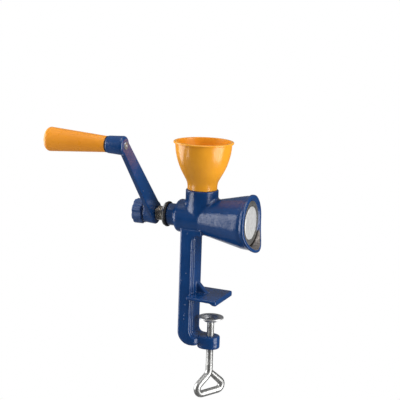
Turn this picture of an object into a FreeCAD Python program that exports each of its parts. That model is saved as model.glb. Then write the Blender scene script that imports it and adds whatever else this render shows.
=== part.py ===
# Hand cranked nut and seed mill that clamps to the edge of a table.
#
# Millimetres. The origin is the middle of the jaw's gripping lip, on the plane of the table top.
# +Z is up, +X runs along the main shaft towards the mouth, and the clamp screw is parallel to Z.
# Along the shaft, places are measured from the axis of the hopper, ahead positive.

import FreeCAD, Part
import math
import operator
import os
import Sketcher

document = FreeCAD.newDocument("nut_mill")
sheet = document.addObject("Spreadsheet::Sheet", "Sizes")


class Size:
    """A value together with the sheet formula that it comes from, so that a feature can be bound to it."""

    def __init__(self, value, formula):
        self.value = value
        self.formula = formula

    def combine(self, other, symbol, work, swapped=False):
        other = as_size(other)
        first, second = (other, self) if swapped else (self, other)
        return Size(work(first.value, second.value), f"({first.formula} {symbol} {second.formula})")

    def __add__(self, other):
        return self.combine(other, "+", operator.add)

    def __radd__(self, other):
        return self.combine(other, "+", operator.add, True)

    def __sub__(self, other):
        return self.combine(other, "-", operator.sub)

    def __rsub__(self, other):
        return self.combine(other, "-", operator.sub, True)

    def __mul__(self, other):
        return self.combine(other, "*", operator.mul)

    def __rmul__(self, other):
        return self.combine(other, "*", operator.mul, True)

    def __truediv__(self, other):
        return self.combine(other, "/", operator.truediv)

    def __rtruediv__(self, other):
        return self.combine(other, "/", operator.truediv, True)

    def __neg__(self):
        return Size(-self.value, f"(0 - {self.formula})")


def as_size(number):
    return number if isinstance(number, Size) else Size(float(number), repr(float(number)))


def sine(angle):
    return Size(math.sin(math.radians(angle.value)), f"sin({angle.formula})")


def cosine(angle):
    return Size(math.cos(math.radians(angle.value)), f"cos({angle.formula})")


def tangent(angle):
    return Size(math.tan(math.radians(angle.value)), f"tan({angle.formula})")


def bearing(across, up):
    """Angle of the line from the origin to across, up."""
    return Size(math.degrees(math.atan2(up.value, across.value)), f"atan2({up.formula}; {across.formula})")


def size(alias, value, meaning):
    """Write one driving dimension into the sheet and return it."""
    row = size.row
    size.row += 1
    sheet.set(f"A{row}", meaning)
    sheet.set(f"B{row}", repr(value))
    sheet.setAlias(f"B{row}", alias)
    return Size(float(value), f"Sizes.{alias}")


size.row = 1

# Clearances
seat_gap = size("seat_gap", 0.02, "between pieces pressed or seated in one another, on the radius")
running_gap = size("running_gap", 0.06, "between a shaft and its bore, on the radius")
face_gap = size("face_gap", 0.1, "between flat faces that lie on one another")
loose_gap = size("loose_gap", 0.3, "between pieces that lift out or pass one another")
overrun = size("overrun", 1.0, "cuts run this far past the face that they open")

# Column, jaw and foot
shaft_height = size("shaft_height", 107.7, "shaft axis above the table top")
jaw_reach = size("jaw_reach", 40.6, "column face to the front of the jaw")
jaw_width = size("jaw_width", 62.6, "width of the jaw")
jaw_thickness = size("jaw_thickness", 4.2, "thickness of the jaw plate")
jaw_corner = size("jaw_corner", 2.6, "corner radius of the jaw plate in plan")
jaw_edge = size("jaw_edge", 0.9, "rounding of the jaw plate's edges")
jaw_root = size("jaw_root", 0.5, "plate sunk into the column's face")
jaw_fall = size("jaw_fall", 0.9, "how much the plate drops from the column to the lip")
lip_length = size("lip_length", 4.4, "flat gripping lip under the front of the jaw")
lip_drop = size("lip_drop", 3.0, "lip below the plate beside it")
lip_ramp = size("lip_ramp", 4.0, "length of the slope behind the lip")
gusset_length = size("gusset_length", 17.2, "gusset along the jaw")
gusset_height = size("gusset_height", 16.0, "gusset up the column")
gusset_thickness = size("gusset_thickness", 9.0, "thickness of the gusset")
gusset_edge = size("gusset_edge", 1.4, "rounding of the gusset's ridge")
column_width = size("column_width", 37.7, "width of the column")
column_depth = size("column_depth", 16.8, "depth of the column along the shaft")
column_edge = size("column_edge", 2.6, "rounding of the column's long edges")
band_width = size("band_width", 26.2, "width of the raised band on the column")
band_rise = size("band_rise", 2.4, "height of the raised band")
band_edge = size("band_edge", 0.9, "rounding of the band's edges")
foot_drop = size("foot_drop", 50.9, "top of the foot below the table top")
foot_thickness = size("foot_thickness", 10.0, "thickness of the foot")
foot_flat = size("foot_flat", 0.5, "flat top of the wide part of the foot, ahead of the inner bend")
foot_corner = size("foot_corner", 7.0, "corner radius of the wide part of the foot in plan")
heel_radius = size("heel_radius", 18.0, "outer bend between column and foot")
instep_radius = size("instep_radius", 9.7, "inner bend between column and foot")
armpit_radius = size("armpit_radius", 8.0, "inner bend between column and barrel")
screw_throat = size("screw_throat", 23.1, "column face to the axis of the clamp screw")
boss_radius = size("boss_radius", 12.8, "boss around the clamp screw")
boss_length = size("boss_length", 17.1, "length of that boss")
boss_stand = size("boss_stand", 2.6, "boss above the top of the foot")
boss_edge = size("boss_edge", 2.2, "rounding of the boss")
boss_stretch = size("boss_stretch", 4.5, "how far the boss is drawn out towards the column")

# Barrel, neck, bell and mouth
hopper_ahead = size("hopper_ahead", 5.1, "column face to the axis of the hopper")
barrel_radius = size("barrel_radius", 21.7, "outside of the barrel")
barrel_back = size("barrel_back", 32.4, "barrel behind the hopper axis")
barrel_round = size("barrel_round", 4.6, "rounding of the barrel's rear shoulder")
neck_radius = size("neck_radius", 14.5, "outside of the neck behind the barrel")
neck_length = size("neck_length", 12.2, "length of the neck")
neck_fillet = size("neck_fillet", 2.0, "fillet between neck and shoulder")
bell_start = size("bell_start", 3.0, "hopper axis to where the barrel begins to widen")
collar_start = size("collar_start", 60.0, "hopper axis to the end of the widening")
collar_radius = size("collar_radius", 34.4, "outside of the bell at the end of the widening")
mouth_reach = size("mouth_reach", 70.0, "hopper axis to the mouth's upper edge")
spout_reach = size("spout_reach", 18.0, "bell before it is trimmed, ahead of the mouth's upper edge")
spout_radius = size("spout_radius", 36.4, "outside of the bell at that length")
mouth_curve = size("mouth_curve", 60.0, "radius of the mouth's sweep down to the chin, seen from the side")
mouth_curve_top = size("mouth_curve_top", -2.0, "start of that sweep above the shaft axis")
mouth_swing = size("mouth_swing", 40.0, "turn of that sweep, which trims the bell to its pouring chin")
bead_rise = size("bead_rise", 1.6, "bead around the mouth above the bell")
bead_width = size("bead_width", 4.6, "width of that bead")
bead_edge = size("bead_edge", 1.5, "rounding of the bead's front")
bead_back_edge = size("bead_back_edge", 1.05, "rounding of the bead's back")
mouth_edge = size("mouth_edge", 1.2, "rounding of the mouth's inner edge")

# Hollow of the casting
chamber_radius = size("chamber_radius", 16.2, "bore around the feed worm")
chamber_back = size("chamber_back", 20.0, "bore behind the hopper axis")
chamber_ahead = size("chamber_ahead", 28.0, "bore ahead of the hopper axis, where it begins to flare")
flare_radius = size("flare_radius", 23.0, "flare at the back of the grinding ring")
ring_back = size("ring_back", 49.0, "hopper axis to the back of the grinding ring")
spout_back_radius = size("spout_back_radius", 30.2, "inside of the mouth at the grinding ring")
spout_bore = size("spout_bore", 35.0, "inside of the bell at its untrimmed end")
socket_radius = size("socket_radius", 21.3, "outside of the hopper socket")
socket_height = size("socket_height", 37.3, "top of the socket above the shaft axis")
socket_depth = size("socket_depth", 15.0, "depth of the socket's bore")
socket_edge = size("socket_edge", 1.2, "rounding of the socket's rim")
socket_fillet = size("socket_fillet", 3.0, "fillet between socket and barrel")
throat_radius = size("throat_radius", 15.0, "throat from the socket down to the worm")

# Hopper
spigot_radius = size("spigot_radius", 17.9, "spigot of the hopper in the socket")
spigot_length = size("spigot_length", 13.5, "length of the spigot")
hopper_neck_radius = size("hopper_neck_radius", 19.4, "outside of the hopper's neck")
hopper_neck_height = size("hopper_neck_height", 8.6, "neck up to the corner where it starts to open")
hopper_foot_edge = size("hopper_foot_edge", 0.8, "rounding of the neck's lower edge")
hopper_waist_curve = size("hopper_waist_curve", 18.0, "hollow curve above the neck")
hopper_flare_angle = size("hopper_flare_angle", 29.0, "slope of the opening part from upright")
hopper_flare_height = size("hopper_flare_height", 36.5, "corner between the opening part and the upper wall")
hopper_bowl_curve = size("hopper_bowl_curve", 88.0, "round curve of the bowl")
hopper_wall_angle = size("hopper_wall_angle", 5.0, "slope of the upper wall from upright")
hopper_height = size("hopper_height", 62.4, "top of the rim above the socket")
hopper_wall = size("hopper_wall", 2.0, "wall of the hopper")
rim_radius = size("rim_radius", 39.0, "outside of the hopper's lip")
rim_thickness = size("rim_thickness", 2.6, "thickness of the lip")
rim_edge = size("rim_edge", 1.1, "rounding of the lip")

# Grinding set
ring_radius = size("ring_radius", 28.5, "outside of the grinding ring")
ring_length = size("ring_length", 19.0, "length of the grinding ring")
ring_back_bore = size("ring_back_bore", 17.6, "taper of the ring at its back")
ring_front_bore = size("ring_front_bore", 22.2, "taper of the ring at its front")
grind_gap = size("grind_gap", 0.5, "between ring and cone")
ring_grooves = size("ring_grooves", 24, "number of grooves in the ring")
cone_grooves = size("cone_grooves", 18, "number of grooves in the cone")
groove_depth = size("groove_depth", 2.4, "depth of a groove at its back end")
groove_half_width = size("groove_half_width", 1.5, "half the width of a groove at the surface")
land_length = size("land_length", 3.0, "smooth land in front of the grooves")
cone_hub_radius = size("cone_hub_radius", 11.0, "hub behind the cone")
cone_hub_length = size("cone_hub_length", 8.7, "length of that hub")
cone_face = size("cone_face", 6.0, "solid front of the cone")
cone_edge = size("cone_edge", 0.6, "rounding of the cone's front edge")
dowel_radius = size("dowel_radius", 1.5, "dowel that stops the ring from turning")
dowel_length = size("dowel_length", 10.0, "length of the dowel")
dowel_circle = size("dowel_circle", 25.6, "dowel from the shaft axis")

# Shaft, bush, worm and pins
journal_radius = size("journal_radius", 6.0, "shaft in the bush and under the worm")
journal_stand = size("journal_stand", 0.7, "journal behind the thrust washer")
nose_radius = size("nose_radius", 5.5, "shaft in the cone")
square_width = size("square_width", 9.0, "square for the crank, across its flats")
square_gap = size("square_gap", 0.15, "between square and hub, on each side")
stud_radius = size("stud_radius", 4.0, "threaded end for the star knob")
stud_grip = size("stud_grip", 7.3, "threaded end inside the star knob at rest")
stud_chamfer = size("stud_chamfer", 0.8, "chamfer of the threaded end")
bush_radius = size("bush_radius", 9.0, "outside of the bearing bush")
bush_flange_radius = size("bush_flange_radius", 12.5, "flange of the bush")
bush_flange = size("bush_flange", 2.0, "thickness of that flange")
worm_root = size("worm_root", 8.5, "sleeve of the feed worm")
worm_pitch = size("worm_pitch", 20.0, "pitch of the flight")
worm_turns = size("worm_turns", 2.1, "turns of the flight")
flight_width = size("flight_width", 3.4, "thickness of the flight")
worm_gap = size("worm_gap", 0.6, "between the flight and the bore")
pin_radius = size("pin_radius", 2.0, "cross pins")
worm_pin_back = size("worm_pin_back", 3.4, "worm's back end to its pin")

# Washers and spring behind the neck
seal_radius = size("seal_radius", 16.6, "rubber washer")
seal_thickness = size("seal_thickness", 3.4, "thickness of the rubber washer")
seal_edge = size("seal_edge", 1.1, "rounding of the rubber washer")
thrust_radius = size("thrust_radius", 15.4, "steel washer")
thrust_thickness = size("thrust_thickness", 1.6, "thickness of the steel washer")
spring_length = size("spring_length", 12.2, "adjusting spring as fitted")
spring_radius = size("spring_radius", 8.5, "middle of the wire from the shaft axis")
wire_radius = size("wire_radius", 0.95, "spring wire")
spring_turns = size("spring_turns", 4.5, "turns of the spring")

# Crank
crank_angle = size("crank_angle", 45.4, "crank at rest, from upright towards -Y")
crank_length = size("crank_length", 145.0, "shaft axis to grip axis")
arm_thickness = size("arm_thickness", 6.4, "thickness of the arm")
arm_root_width = size("arm_root_width", 27.4, "width of the arm at the shaft axis")
arm_tip_width = size("arm_tip_width", 18.2, "width of the arm at the grip axis")
arm_edge = size("arm_edge", 1.6, "rounding of the arm's edges")
knuckle_edge = size("knuckle_edge", 3.4, "rounding of the spindle boss's front edge")
hub_radius = size("hub_radius", 15.2, "hub at the arm's face")
hub_back_radius = size("hub_back_radius", 14.0, "hub at its back end")
hub_length = size("hub_length", 15.6, "length of the hub")
knuckle_radius = size("knuckle_radius", 12.2, "boss for the spindle at the arm's face")
knuckle_back_radius = size("knuckle_back_radius", 10.8, "that boss at its back end")
knuckle_length = size("knuckle_length", 23.7, "length of that boss")
spindle_radius = size("spindle_radius", 4.0, "spindle of the grip")
rivet_radius = size("rivet_radius", 4.9, "riveted end of the spindle")
rivet_height = size("rivet_height", 1.1, "riveted end above the arm's face")
rivet_dimple = size("rivet_dimple", 2.2, "hollow in the riveted end")
collar_washer_radius = size("collar_washer_radius", 10.2, "washer between the boss and the grip")
collar_washer_thickness = size("collar_washer_thickness", 1.2, "thickness of that washer")
grip_length = size("grip_length", 82.1, "length of the grip")
grip_near_radius = size("grip_near_radius", 10.0, "grip at the crank")
grip_far_radius = size("grip_far_radius", 15.6, "grip at its outer end")
grip_round = size("grip_round", 5.0, "rounding of the grip's outer end")
recess_radius = size("recess_radius", 8.2, "recess for the spindle's head")
recess_depth = size("recess_depth", 13.0, "depth of that recess")
cap_thickness = size("cap_thickness", 5.0, "plug that closes the recess")
spindle_head_radius = size("spindle_head_radius", 7.0, "head of the spindle")
spindle_head = size("spindle_head", 4.0, "thickness of that head")
head_washer_radius = size("head_washer_radius", 7.7, "washer under the head")
head_washer_thickness = size("head_washer_thickness", 1.2, "thickness of that washer")

# Star knob
crank_travel_in = size("crank_travel_in", 4.0, "how far the star knob can push the crank in from rest")
knob_washer_radius = size("knob_washer_radius", 11.0, "washer between hub and star knob")
knob_washer_thickness = size("knob_washer_thickness", 1.2, "thickness of that washer")
knob_radius = size("knob_radius", 16.4, "star knob over its lobes")
knob_length = size("knob_length", 13.5, "length of the star knob")
knob_neck_radius = size("knob_neck_radius", 12.6, "neck of the star knob")
knob_neck = size("knob_neck", 0.8, "length of that neck")
knob_lobes = size("knob_lobes", 8, "number of lobes")
scallop_radius = size("scallop_radius", 3.7, "hollow between two lobes")
scallop_depth = size("scallop_depth", 2.1, "depth of that hollow")
knob_edge = size("knob_edge", 1.3, "rounding of the star knob's outer face")
insert_width = size("insert_width", 13.0, "threaded insert across its flats")
insert_length = size("insert_length", 8.0, "length of the insert")
stud_bore_wall = size("stud_bore_wall", 1.6, "outer wall of the star knob over its bore")

# Clamp
screw_radius = size("screw_radius", 4.75, "clamp screw over its thread")
pad_drop = size("pad_drop", 22.9, "rim of the pad below the table top at rest")
pad_radius = size("pad_radius", 16.7, "clamp pad")
pad_sheet = size("pad_sheet", 1.6, "sheet of the pad")
pad_rim = size("pad_rim", 5.0, "width of the pad's flat rim")
pad_edge = size("pad_edge", 0.5, "rounding of the rim's outer edge")
pad_depth = size("pad_depth", 5.0, "depth of the pad's dish")
pad_wall_angle = size("pad_wall_angle", 50.0, "slope of the dish's wall")
pad_bend = size("pad_bend", 1.4, "bend between rim, wall and floor, on its upper side")
tip_radius = size("tip_radius", 3.3, "tip of the screw through the pad")
tip_head_radius = size("tip_head_radius", 5.4, "peened end of the tip")
tip_head = size("tip_head", 2.2, "height of the peened end")
tip_crown_radius = size("tip_crown_radius", 3.8, "flat top of the peened end")
loop_angle = size("loop_angle", 60.0, "plane of the loop handle, from +X towards +Y")
loop_neck_drop = size("loop_neck_drop", 100.4, "bend out of the straight rod below the table top")
loop_neck_curve = size("loop_neck_curve", 11.0, "radius of that bend")
loop_left = size("loop_left", 35.0, "virtual left corner of the loop from the rod's axis")
loop_left_drop = size("loop_left_drop", 127.9, "that corner below the table top")
loop_left_curve = size("loop_left_curve", 7.8, "bend at that corner")
loop_right = size("loop_right", 32.0, "virtual right corner of the loop from the rod's axis")
loop_right_drop = size("loop_right_drop", 125.2, "that corner below the table top")
loop_right_curve = size("loop_right_curve", 6.8, "bend at that corner")
loop_end = size("loop_end", 9.4, "end of the loop's even part from the rod's axis")
loop_end_drop = size("loop_end_drop", 105.4, "that end below the table top")
loop_weld_length = size("loop_weld_length", 9.5, "end of the loop that is forged thinner and welded to the rod")
loop_weld_radius = size("loop_weld_radius", 4.0, "radius of the loop at that weld")

# Places that follow from the sizes above
jaw_front = lip_length / 2
column_face = jaw_front - jaw_reach
column_back = column_face - column_depth
hopper_x = column_face + hopper_ahead
screw_x = column_face + screw_throat
foot_top = -foot_drop
foot_bottom = foot_top - foot_thickness
foot_reach = instep_radius + foot_flat
boss_top = foot_top + boss_stand
boss_bottom = boss_top - boss_length
neck_end = -(barrel_back + neck_length)
seal_back = neck_end - face_gap - seal_thickness
thrust_back = seal_back - face_gap - thrust_thickness
crank_face = thrust_back - face_gap - spring_length - face_gap
hub_back = crank_face - hub_length
knob_face = hub_back - face_gap - knob_washer_thickness - face_gap
knob_back = knob_face - knob_length
stud_end = knob_face - stud_grip
ring_front = ring_back + ring_length
worm_back = face_gap * 5 + bush_flange - chamber_back
worm_front = ring_back - cone_hub_length - loose_gap
nose_end = ring_front - cone_face - loose_gap
spout_x = mouth_reach + spout_reach
pad_top = -pad_drop
pad_floor = pad_top - pad_depth
grip_y = -crank_length * sine(crank_angle)
grip_z = shaft_height + crank_length * cosine(crank_angle)
knuckle_back = crank_face - knuckle_length
grip_near = knuckle_back - face_gap - collar_washer_thickness - face_gap
grip_end = grip_near - grip_length
recess_floor = grip_end + recess_depth
head_front = recess_floor - face_gap - head_washer_thickness - face_gap
worm_pin_place = worm_back + worm_pin_back
cone_pin_place = ring_back - cone_hub_length / 2


# Helpers that draw and bind

def tie(feature, name, amount):
    """Bind one property of a feature to a size."""
    feature.setExpression(name, as_size(amount).formula)


def plane_of(body, role):
    return next(plane for plane in body.Origin.OriginFeatures if plane.Role == role)


def new_body(name, x=0, y=0, z=0, axis=(1, 0, 0), angle=None):
    """A body whose own origin stands at x, y, z, turned by angle around axis."""
    body = document.addObject("PartDesign::Body", name)
    if angle is not None:
        body.Placement.Rotation = FreeCAD.Rotation(FreeCAD.Vector(*axis), angle.value)
        tie(body, "Placement.Rotation.Angle", angle)
    for letter, place in zip("xyz", (x, y, z)):
        tie(body, f"Placement.Base.{letter}", place)
    return body


def new_sketch(body, plane="XZ_Plane", shift=(0, 0, 0), lean=None):
    """An empty sketch on one of the body's planes; shift is along the plane's axes, lean turns it there."""
    sketch = body.newObject("Sketcher::SketchObject", f"{body.Name}_sketch")
    sketch.AttachmentSupport = [(plane_of(body, plane), "")]
    sketch.MapMode = "FlatFace"
    for axis, distance in zip("xyz", shift):
        tie(sketch, f".AttachmentOffset.Base.{axis}", distance)
    if lean is not None:
        tie(sketch, ".AttachmentOffset.Rotation.Angle", lean)
    return sketch


def pin_down(sketch, item, corner, across, up):
    """Hold one point of a sketch at across, up from the sketch's origin."""
    for kind, amount, axis in (("DistanceX", across, -2), ("DistanceY", up, -1)):
        amount = as_size(amount)
        if amount.value == 0:
            sketch.addConstraint(Sketcher.Constraint("PointOnObject", item, corner, axis))
            continue
        number = sketch.addConstraint(Sketcher.Constraint(kind, -1, 1, item, corner, amount.value))
        tie(sketch, f"Constraints[{number}]", amount)


def rounded_corner(before, corner, after, radius):
    """Tangent points, centre and turning side of an arc at a corner."""
    back = (before - corner).normalize()
    ahead = (after - corner).normalize()
    half = back.getAngle(ahead) / 2
    reach = radius / math.tan(half)
    centre = corner + (back + ahead).normalize() * (radius / math.sin(half))
    left_turn = back.cross(ahead).z < 0
    return corner + back * reach, corner + ahead * reach, centre, left_turn


def outline(sketch, corners, closed=True):
    """Draw a line through corners of (across, up) or (across, up, bend radius), every value bound."""
    points = [FreeCAD.Vector(as_size(c[0]).value, as_size(c[1]).value, 0) for c in corners]
    radii = [as_size(c[2]) if len(c) == 3 else None for c in corners]
    count = len(corners)
    starts, ends, arcs = list(points), list(points), {}
    for number, radius in enumerate(radii):
        if radius is None:
            continue
        before, after = points[number - 1], points[(number + 1) % count]
        bend = rounded_corner(before, points[number], after, radius.value)
        ends[number], starts[number] = bend[0], bend[1]
        arcs[number] = bend
    last = count if closed else count - 1
    lines = [
        sketch.addGeometry(Part.LineSegment(starts[n], ends[(n + 1) % count]), False) for n in range(last)
    ]
    for number, (across, up, *_) in enumerate(corners):
        before = lines[number - 1] if closed or number > 0 else None
        after = lines[number] if number < last else None
        if number in arcs:
            add_bend(sketch, points[number], arcs[number], radii[number], before, after, across, up)
        elif after is None:
            pin_down(sketch, before, 2, across, up)
        else:
            pin_down(sketch, after, 1, across, up)
            if before is not None:
                sketch.addConstraint(Sketcher.Constraint("Coincident", before, 2, after, 1))
    return sketch


def add_bend(sketch, point, bend, radius, before, after, across, up):
    """Join two lines of a sketch by a tangent arc around a held corner point."""
    arc_start, arc_end, centre, left_turn = bend
    first, second = (arc_start, arc_end) if left_turn else (arc_end, arc_start)
    from_angle = math.atan2(first.y - centre.y, first.x - centre.x)
    to_angle = math.atan2(second.y - centre.y, second.x - centre.x)
    circle = Part.Circle(centre, FreeCAD.Vector(0, 0, 1), radius.value)
    arc = sketch.addGeometry(Part.ArcOfCircle(circle, from_angle, to_angle), False)
    entry, leave = (1, 2) if left_turn else (2, 1)
    sketch.addConstraint(Sketcher.Constraint("Tangent", before, 2, arc, entry))
    sketch.addConstraint(Sketcher.Constraint("Tangent", after, 1, arc, leave))
    number = sketch.addConstraint(Sketcher.Constraint("Radius", arc, radius.value))
    tie(sketch, f"Constraints[{number}]", radius)
    held = sketch.addGeometry(Part.Point(point), True)
    sketch.addConstraint(Sketcher.Constraint("PointOnObject", held, 1, before))
    sketch.addConstraint(Sketcher.Constraint("PointOnObject", held, 1, after))
    pin_down(sketch, held, 1, across, up)


def circle(sketch, radius, across=0, up=0):
    """Draw a bound circle."""
    radius = as_size(radius)
    centre = FreeCAD.Vector(as_size(across).value, as_size(up).value, 0)
    item = sketch.addGeometry(Part.Circle(centre, FreeCAD.Vector(0, 0, 1), radius.value), False)
    number = sketch.addConstraint(Sketcher.Constraint("Radius", item, radius.value))
    tie(sketch, f"Constraints[{number}]", radius)
    pin_down(sketch, item, 3, across, up)
    return sketch


def rectangle(sketch, left, right, bottom, top):
    return outline(sketch, [(left, bottom), (right, bottom), (right, top), (left, top)])


def pad(body, sketch, length, both_ways=False, backwards=False):
    """Push a sketch out into solid."""
    feature = body.newObject("PartDesign::Pad", f"{body.Name}_pad")
    feature.Profile = sketch
    feature.SideType = "Symmetric" if both_ways else "One side"
    feature.Reversed = backwards
    tie(feature, "Length", length)
    return feature


def pocket(body, sketch, length, both_ways=False, backwards=False):
    """Cut a sketch out of the solid."""
    feature = body.newObject("PartDesign::Pocket", f"{body.Name}_pocket")
    feature.Profile = sketch
    feature.SideType = "Symmetric" if both_ways else "One side"
    feature.Reversed = backwards
    tie(feature, "Length", length)
    return feature


def turn(body, sketch, axis="H_Axis", cut=False):
    """Turn a sketch around one of its own axes."""
    kind = "Groove" if cut else "Revolution"
    feature = body.newObject(f"PartDesign::{kind}", f"{body.Name}_turn")
    feature.Profile = sketch
    feature.ReferenceAxis = (sketch, [axis])
    return feature


def repeat(body, original, around, count):
    """Repeat a feature evenly around an axis of its sketch."""
    pattern = body.newObject("PartDesign::PolarPattern", f"{body.Name}_pattern")
    pattern.Originals = [original]
    pattern.Axis = (original.Profile[0], [around])
    pattern.Angle = 360
    tie(pattern, "Occurrences", count)
    body.Tip = pattern
    return pattern


def fillet(body, radius, chosen, kind="Fillet", amount="Radius"):
    """Round every edge of the body's last feature that the test chosen accepts."""
    document.recompute()
    base = body.Tip
    names = [f"Edge{n + 1}" for n, edge in enumerate(base.Shape.Edges) if chosen(edge)]
    feature = body.newObject(f"PartDesign::{kind}", f"{body.Name}_edges")
    feature.Base = (base, names)
    tie(feature, amount, radius)
    return feature


def name_part(shape_object, label):
    shape_object.Label = label
    sub_parts.append(shape_object)


sub_parts = []


# Casting

def column_solid():
    """Column, foot, raised band, jaw, gusset and screw boss, which are one casting."""
    body = new_body("column")
    # The column and the wide part of the foot, seen from the side
    sketch = new_sketch(body)
    outline(sketch, [
        (column_back, shaft_height - neck_radius),
        (column_back, foot_bottom, heel_radius),
        (column_face + foot_reach, foot_bottom),
        (column_face + foot_reach, foot_top),
        (column_face, foot_top, instep_radius),
        (column_face, shaft_height - barrel_radius, armpit_radius),
        (column_face + armpit_radius * 1.5, shaft_height - barrel_radius),
        (column_face + armpit_radius * 1.5, shaft_height - neck_radius),
    ])
    pad(body, sketch, column_width, both_ways=True)
    half_width = column_width.value / 2
    reach = (column_face + foot_reach).value

    def upright_foot_edge(edge):
        box = edge.BoundBox
        return box.XMin > reach - 0.01 and box.XMax < reach + 0.01 and box.ZMax < 0 and box.YLength < 0.01

    fillet(body, foot_corner, upright_foot_edge)

    def long_edge(edge):
        box = edge.BoundBox
        on_side = box.YLength < 0.01 and abs(abs(box.YMin) - half_width) < 0.01
        return on_side and box.ZMin < (shaft_height - barrel_radius).value - 1

    fillet(body, column_edge, long_edge)
    # The raised band on the column's face and the top of the foot, out to the screw boss
    band_face = column_face + band_rise
    sketch = new_sketch(body)
    outline(sketch, [
        (column_face - column_edge, shaft_height - barrel_radius),
        (column_face - column_edge, foot_bottom + column_edge),
        (screw_x, foot_bottom + column_edge),
        (screw_x, foot_top + band_rise),
        (band_face, foot_top + band_rise, instep_radius - band_rise),
        (band_face, shaft_height - barrel_radius),
    ])
    pad(body, sketch, band_width, both_ways=True)
    half_band = band_width.value / 2

    def band_side(edge):
        box = edge.BoundBox
        on_side = box.YLength < 0.01 and abs(abs(box.YMin) - half_band) < 0.01
        ahead = box.XMin > (band_face - 0.01).value and box.ZMax < (shaft_height - barrel_radius).value + 0.01
        above = box.ZMin > (foot_top + band_rise).value - 0.01
        return on_side and ahead and above

    fillet(body, band_edge, band_side)
    jaw(body)
    # The boss around the clamp screw, drawn out towards the column
    for back in (0, boss_stretch):
        sketch = new_sketch(body, shift=(screw_x - back, 0, 0))
        outline(sketch, [
            (0, boss_bottom),
            (boss_radius, boss_bottom, boss_edge),
            (boss_radius, boss_top, boss_edge),
            (0, boss_top),
        ])
        turn(body, sketch, "V_Axis")
    sketch = new_sketch(body, "YZ_Plane", (0, 0, screw_x))
    outline(sketch, [
        (-boss_radius, boss_bottom, boss_edge),
        (boss_radius, boss_bottom, boss_edge),
        (boss_radius, boss_top, boss_edge),
        (-boss_radius, boss_top, boss_edge),
    ])
    pad(body, sketch, boss_stretch, backwards=True)
    return body


def jaw(body):
    """Upper jaw: a plate that drops to a gripping lip, with a gusset on top."""
    behind_lip = jaw_front - lip_length - lip_ramp
    root = column_face - jaw_root
    sketch = new_sketch(body)
    outline(sketch, [
        (root, lip_drop + jaw_fall),
        (behind_lip, lip_drop),
        (jaw_front - lip_length, 0),
        (jaw_front, 0, jaw_edge),
        (jaw_front, lip_drop + jaw_thickness, jaw_edge * 2),
        (root, lip_drop + jaw_fall + jaw_thickness),
    ])
    pad(body, sketch, jaw_width, both_ways=True)
    half_jaw = jaw_width.value / 2

    def front_corner(edge):
        box = edge.BoundBox
        upright = box.XLength < 0.01 and box.YLength < 0.01 and box.ZLength > 1
        return upright and box.XMin > jaw_front.value - 0.01 and abs(abs(box.YMin) - half_jaw) < 0.01

    fillet(body, jaw_corner, front_corner)

    def side_edge(edge):
        box = edge.BoundBox
        on_side = box.YLength < 0.01 and abs(abs(box.YMin) - half_jaw) < 0.01
        return on_side and box.XLength > (jaw_reach / 2).value

    fillet(body, jaw_edge, side_edge)
    sketch = new_sketch(body)
    jaw_top = lip_drop + jaw_fall + jaw_thickness
    outline(sketch, [
        (root, lip_drop + jaw_fall),
        (column_face + band_rise + gusset_length, lip_drop + jaw_thickness - overrun),
        (column_face + band_rise, jaw_top + gusset_height),
        (root, jaw_top + gusset_height),
    ])
    pad(body, sketch, gusset_thickness, both_ways=True)

    def ridge(edge):
        box = edge.BoundBox
        on_side = box.YLength < 0.01 and abs(abs(box.YMin) - gusset_thickness.value / 2) < 0.01
        return on_side and box.XLength > gusset_length.value / 2 and box.ZLength > gusset_height.value / 2

    fillet(body, gusset_edge, ridge)


def barrel_solid():
    """Neck, barrel and bell as one turned outline, with the hopper socket."""
    body = new_body("barrel", hopper_x, 0, shaft_height)
    sketch = new_sketch(body)
    outline(sketch, [
        (neck_end, 0),
        (neck_end, neck_radius),
        (-barrel_back, neck_radius, neck_fillet),
        (-barrel_back, barrel_radius, barrel_round),
        (bell_start, barrel_radius),
        (collar_start, collar_radius),
        (spout_x, spout_radius),
        (spout_x, 0),
    ])
    turn(body, sketch)
    sketch = new_sketch(body, "XY_Plane")
    circle(sketch, socket_radius)
    pad(body, sketch, socket_height)
    mouth_cut(body, 0, True)
    return body


def mouth_cut(body, back, ahead):
    """Cut away what lies ahead of the mouth's sweep, or what lies behind it."""
    far = mouth_curve
    limit = spout_x + far if ahead else 0
    plane = mouth_reach - back
    corner = mouth_curve_top - mouth_curve * tangent(mouth_swing / 2)
    end_across = plane + far * sine(mouth_swing)
    end_up = corner - far * cosine(mouth_swing)
    sketch = new_sketch(body)
    outline(sketch, [
        (plane, far),
        (plane, corner, mouth_curve),
        (end_across, end_up),
        (limit, end_up),
        (limit, far),
    ])
    pocket(body, sketch, collar_radius * 4, both_ways=True)


def bead_solid():
    """Bead around the mouth: a tube trimmed ahead of and behind the mouth's sweep."""
    body = new_body("bead", hopper_x, 0, shaft_height)
    inside = collar_radius - bead_rise
    sketch = new_sketch(body)
    outline(sketch, [
        (collar_start, inside),
        (spout_x, inside),
        (spout_x, spout_radius + bead_rise),
        (collar_start, collar_radius + bead_rise),
    ])
    turn(body, sketch)
    mouth_cut(body, 0, True)
    mouth_cut(body, bead_width, False)
    return body


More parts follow.
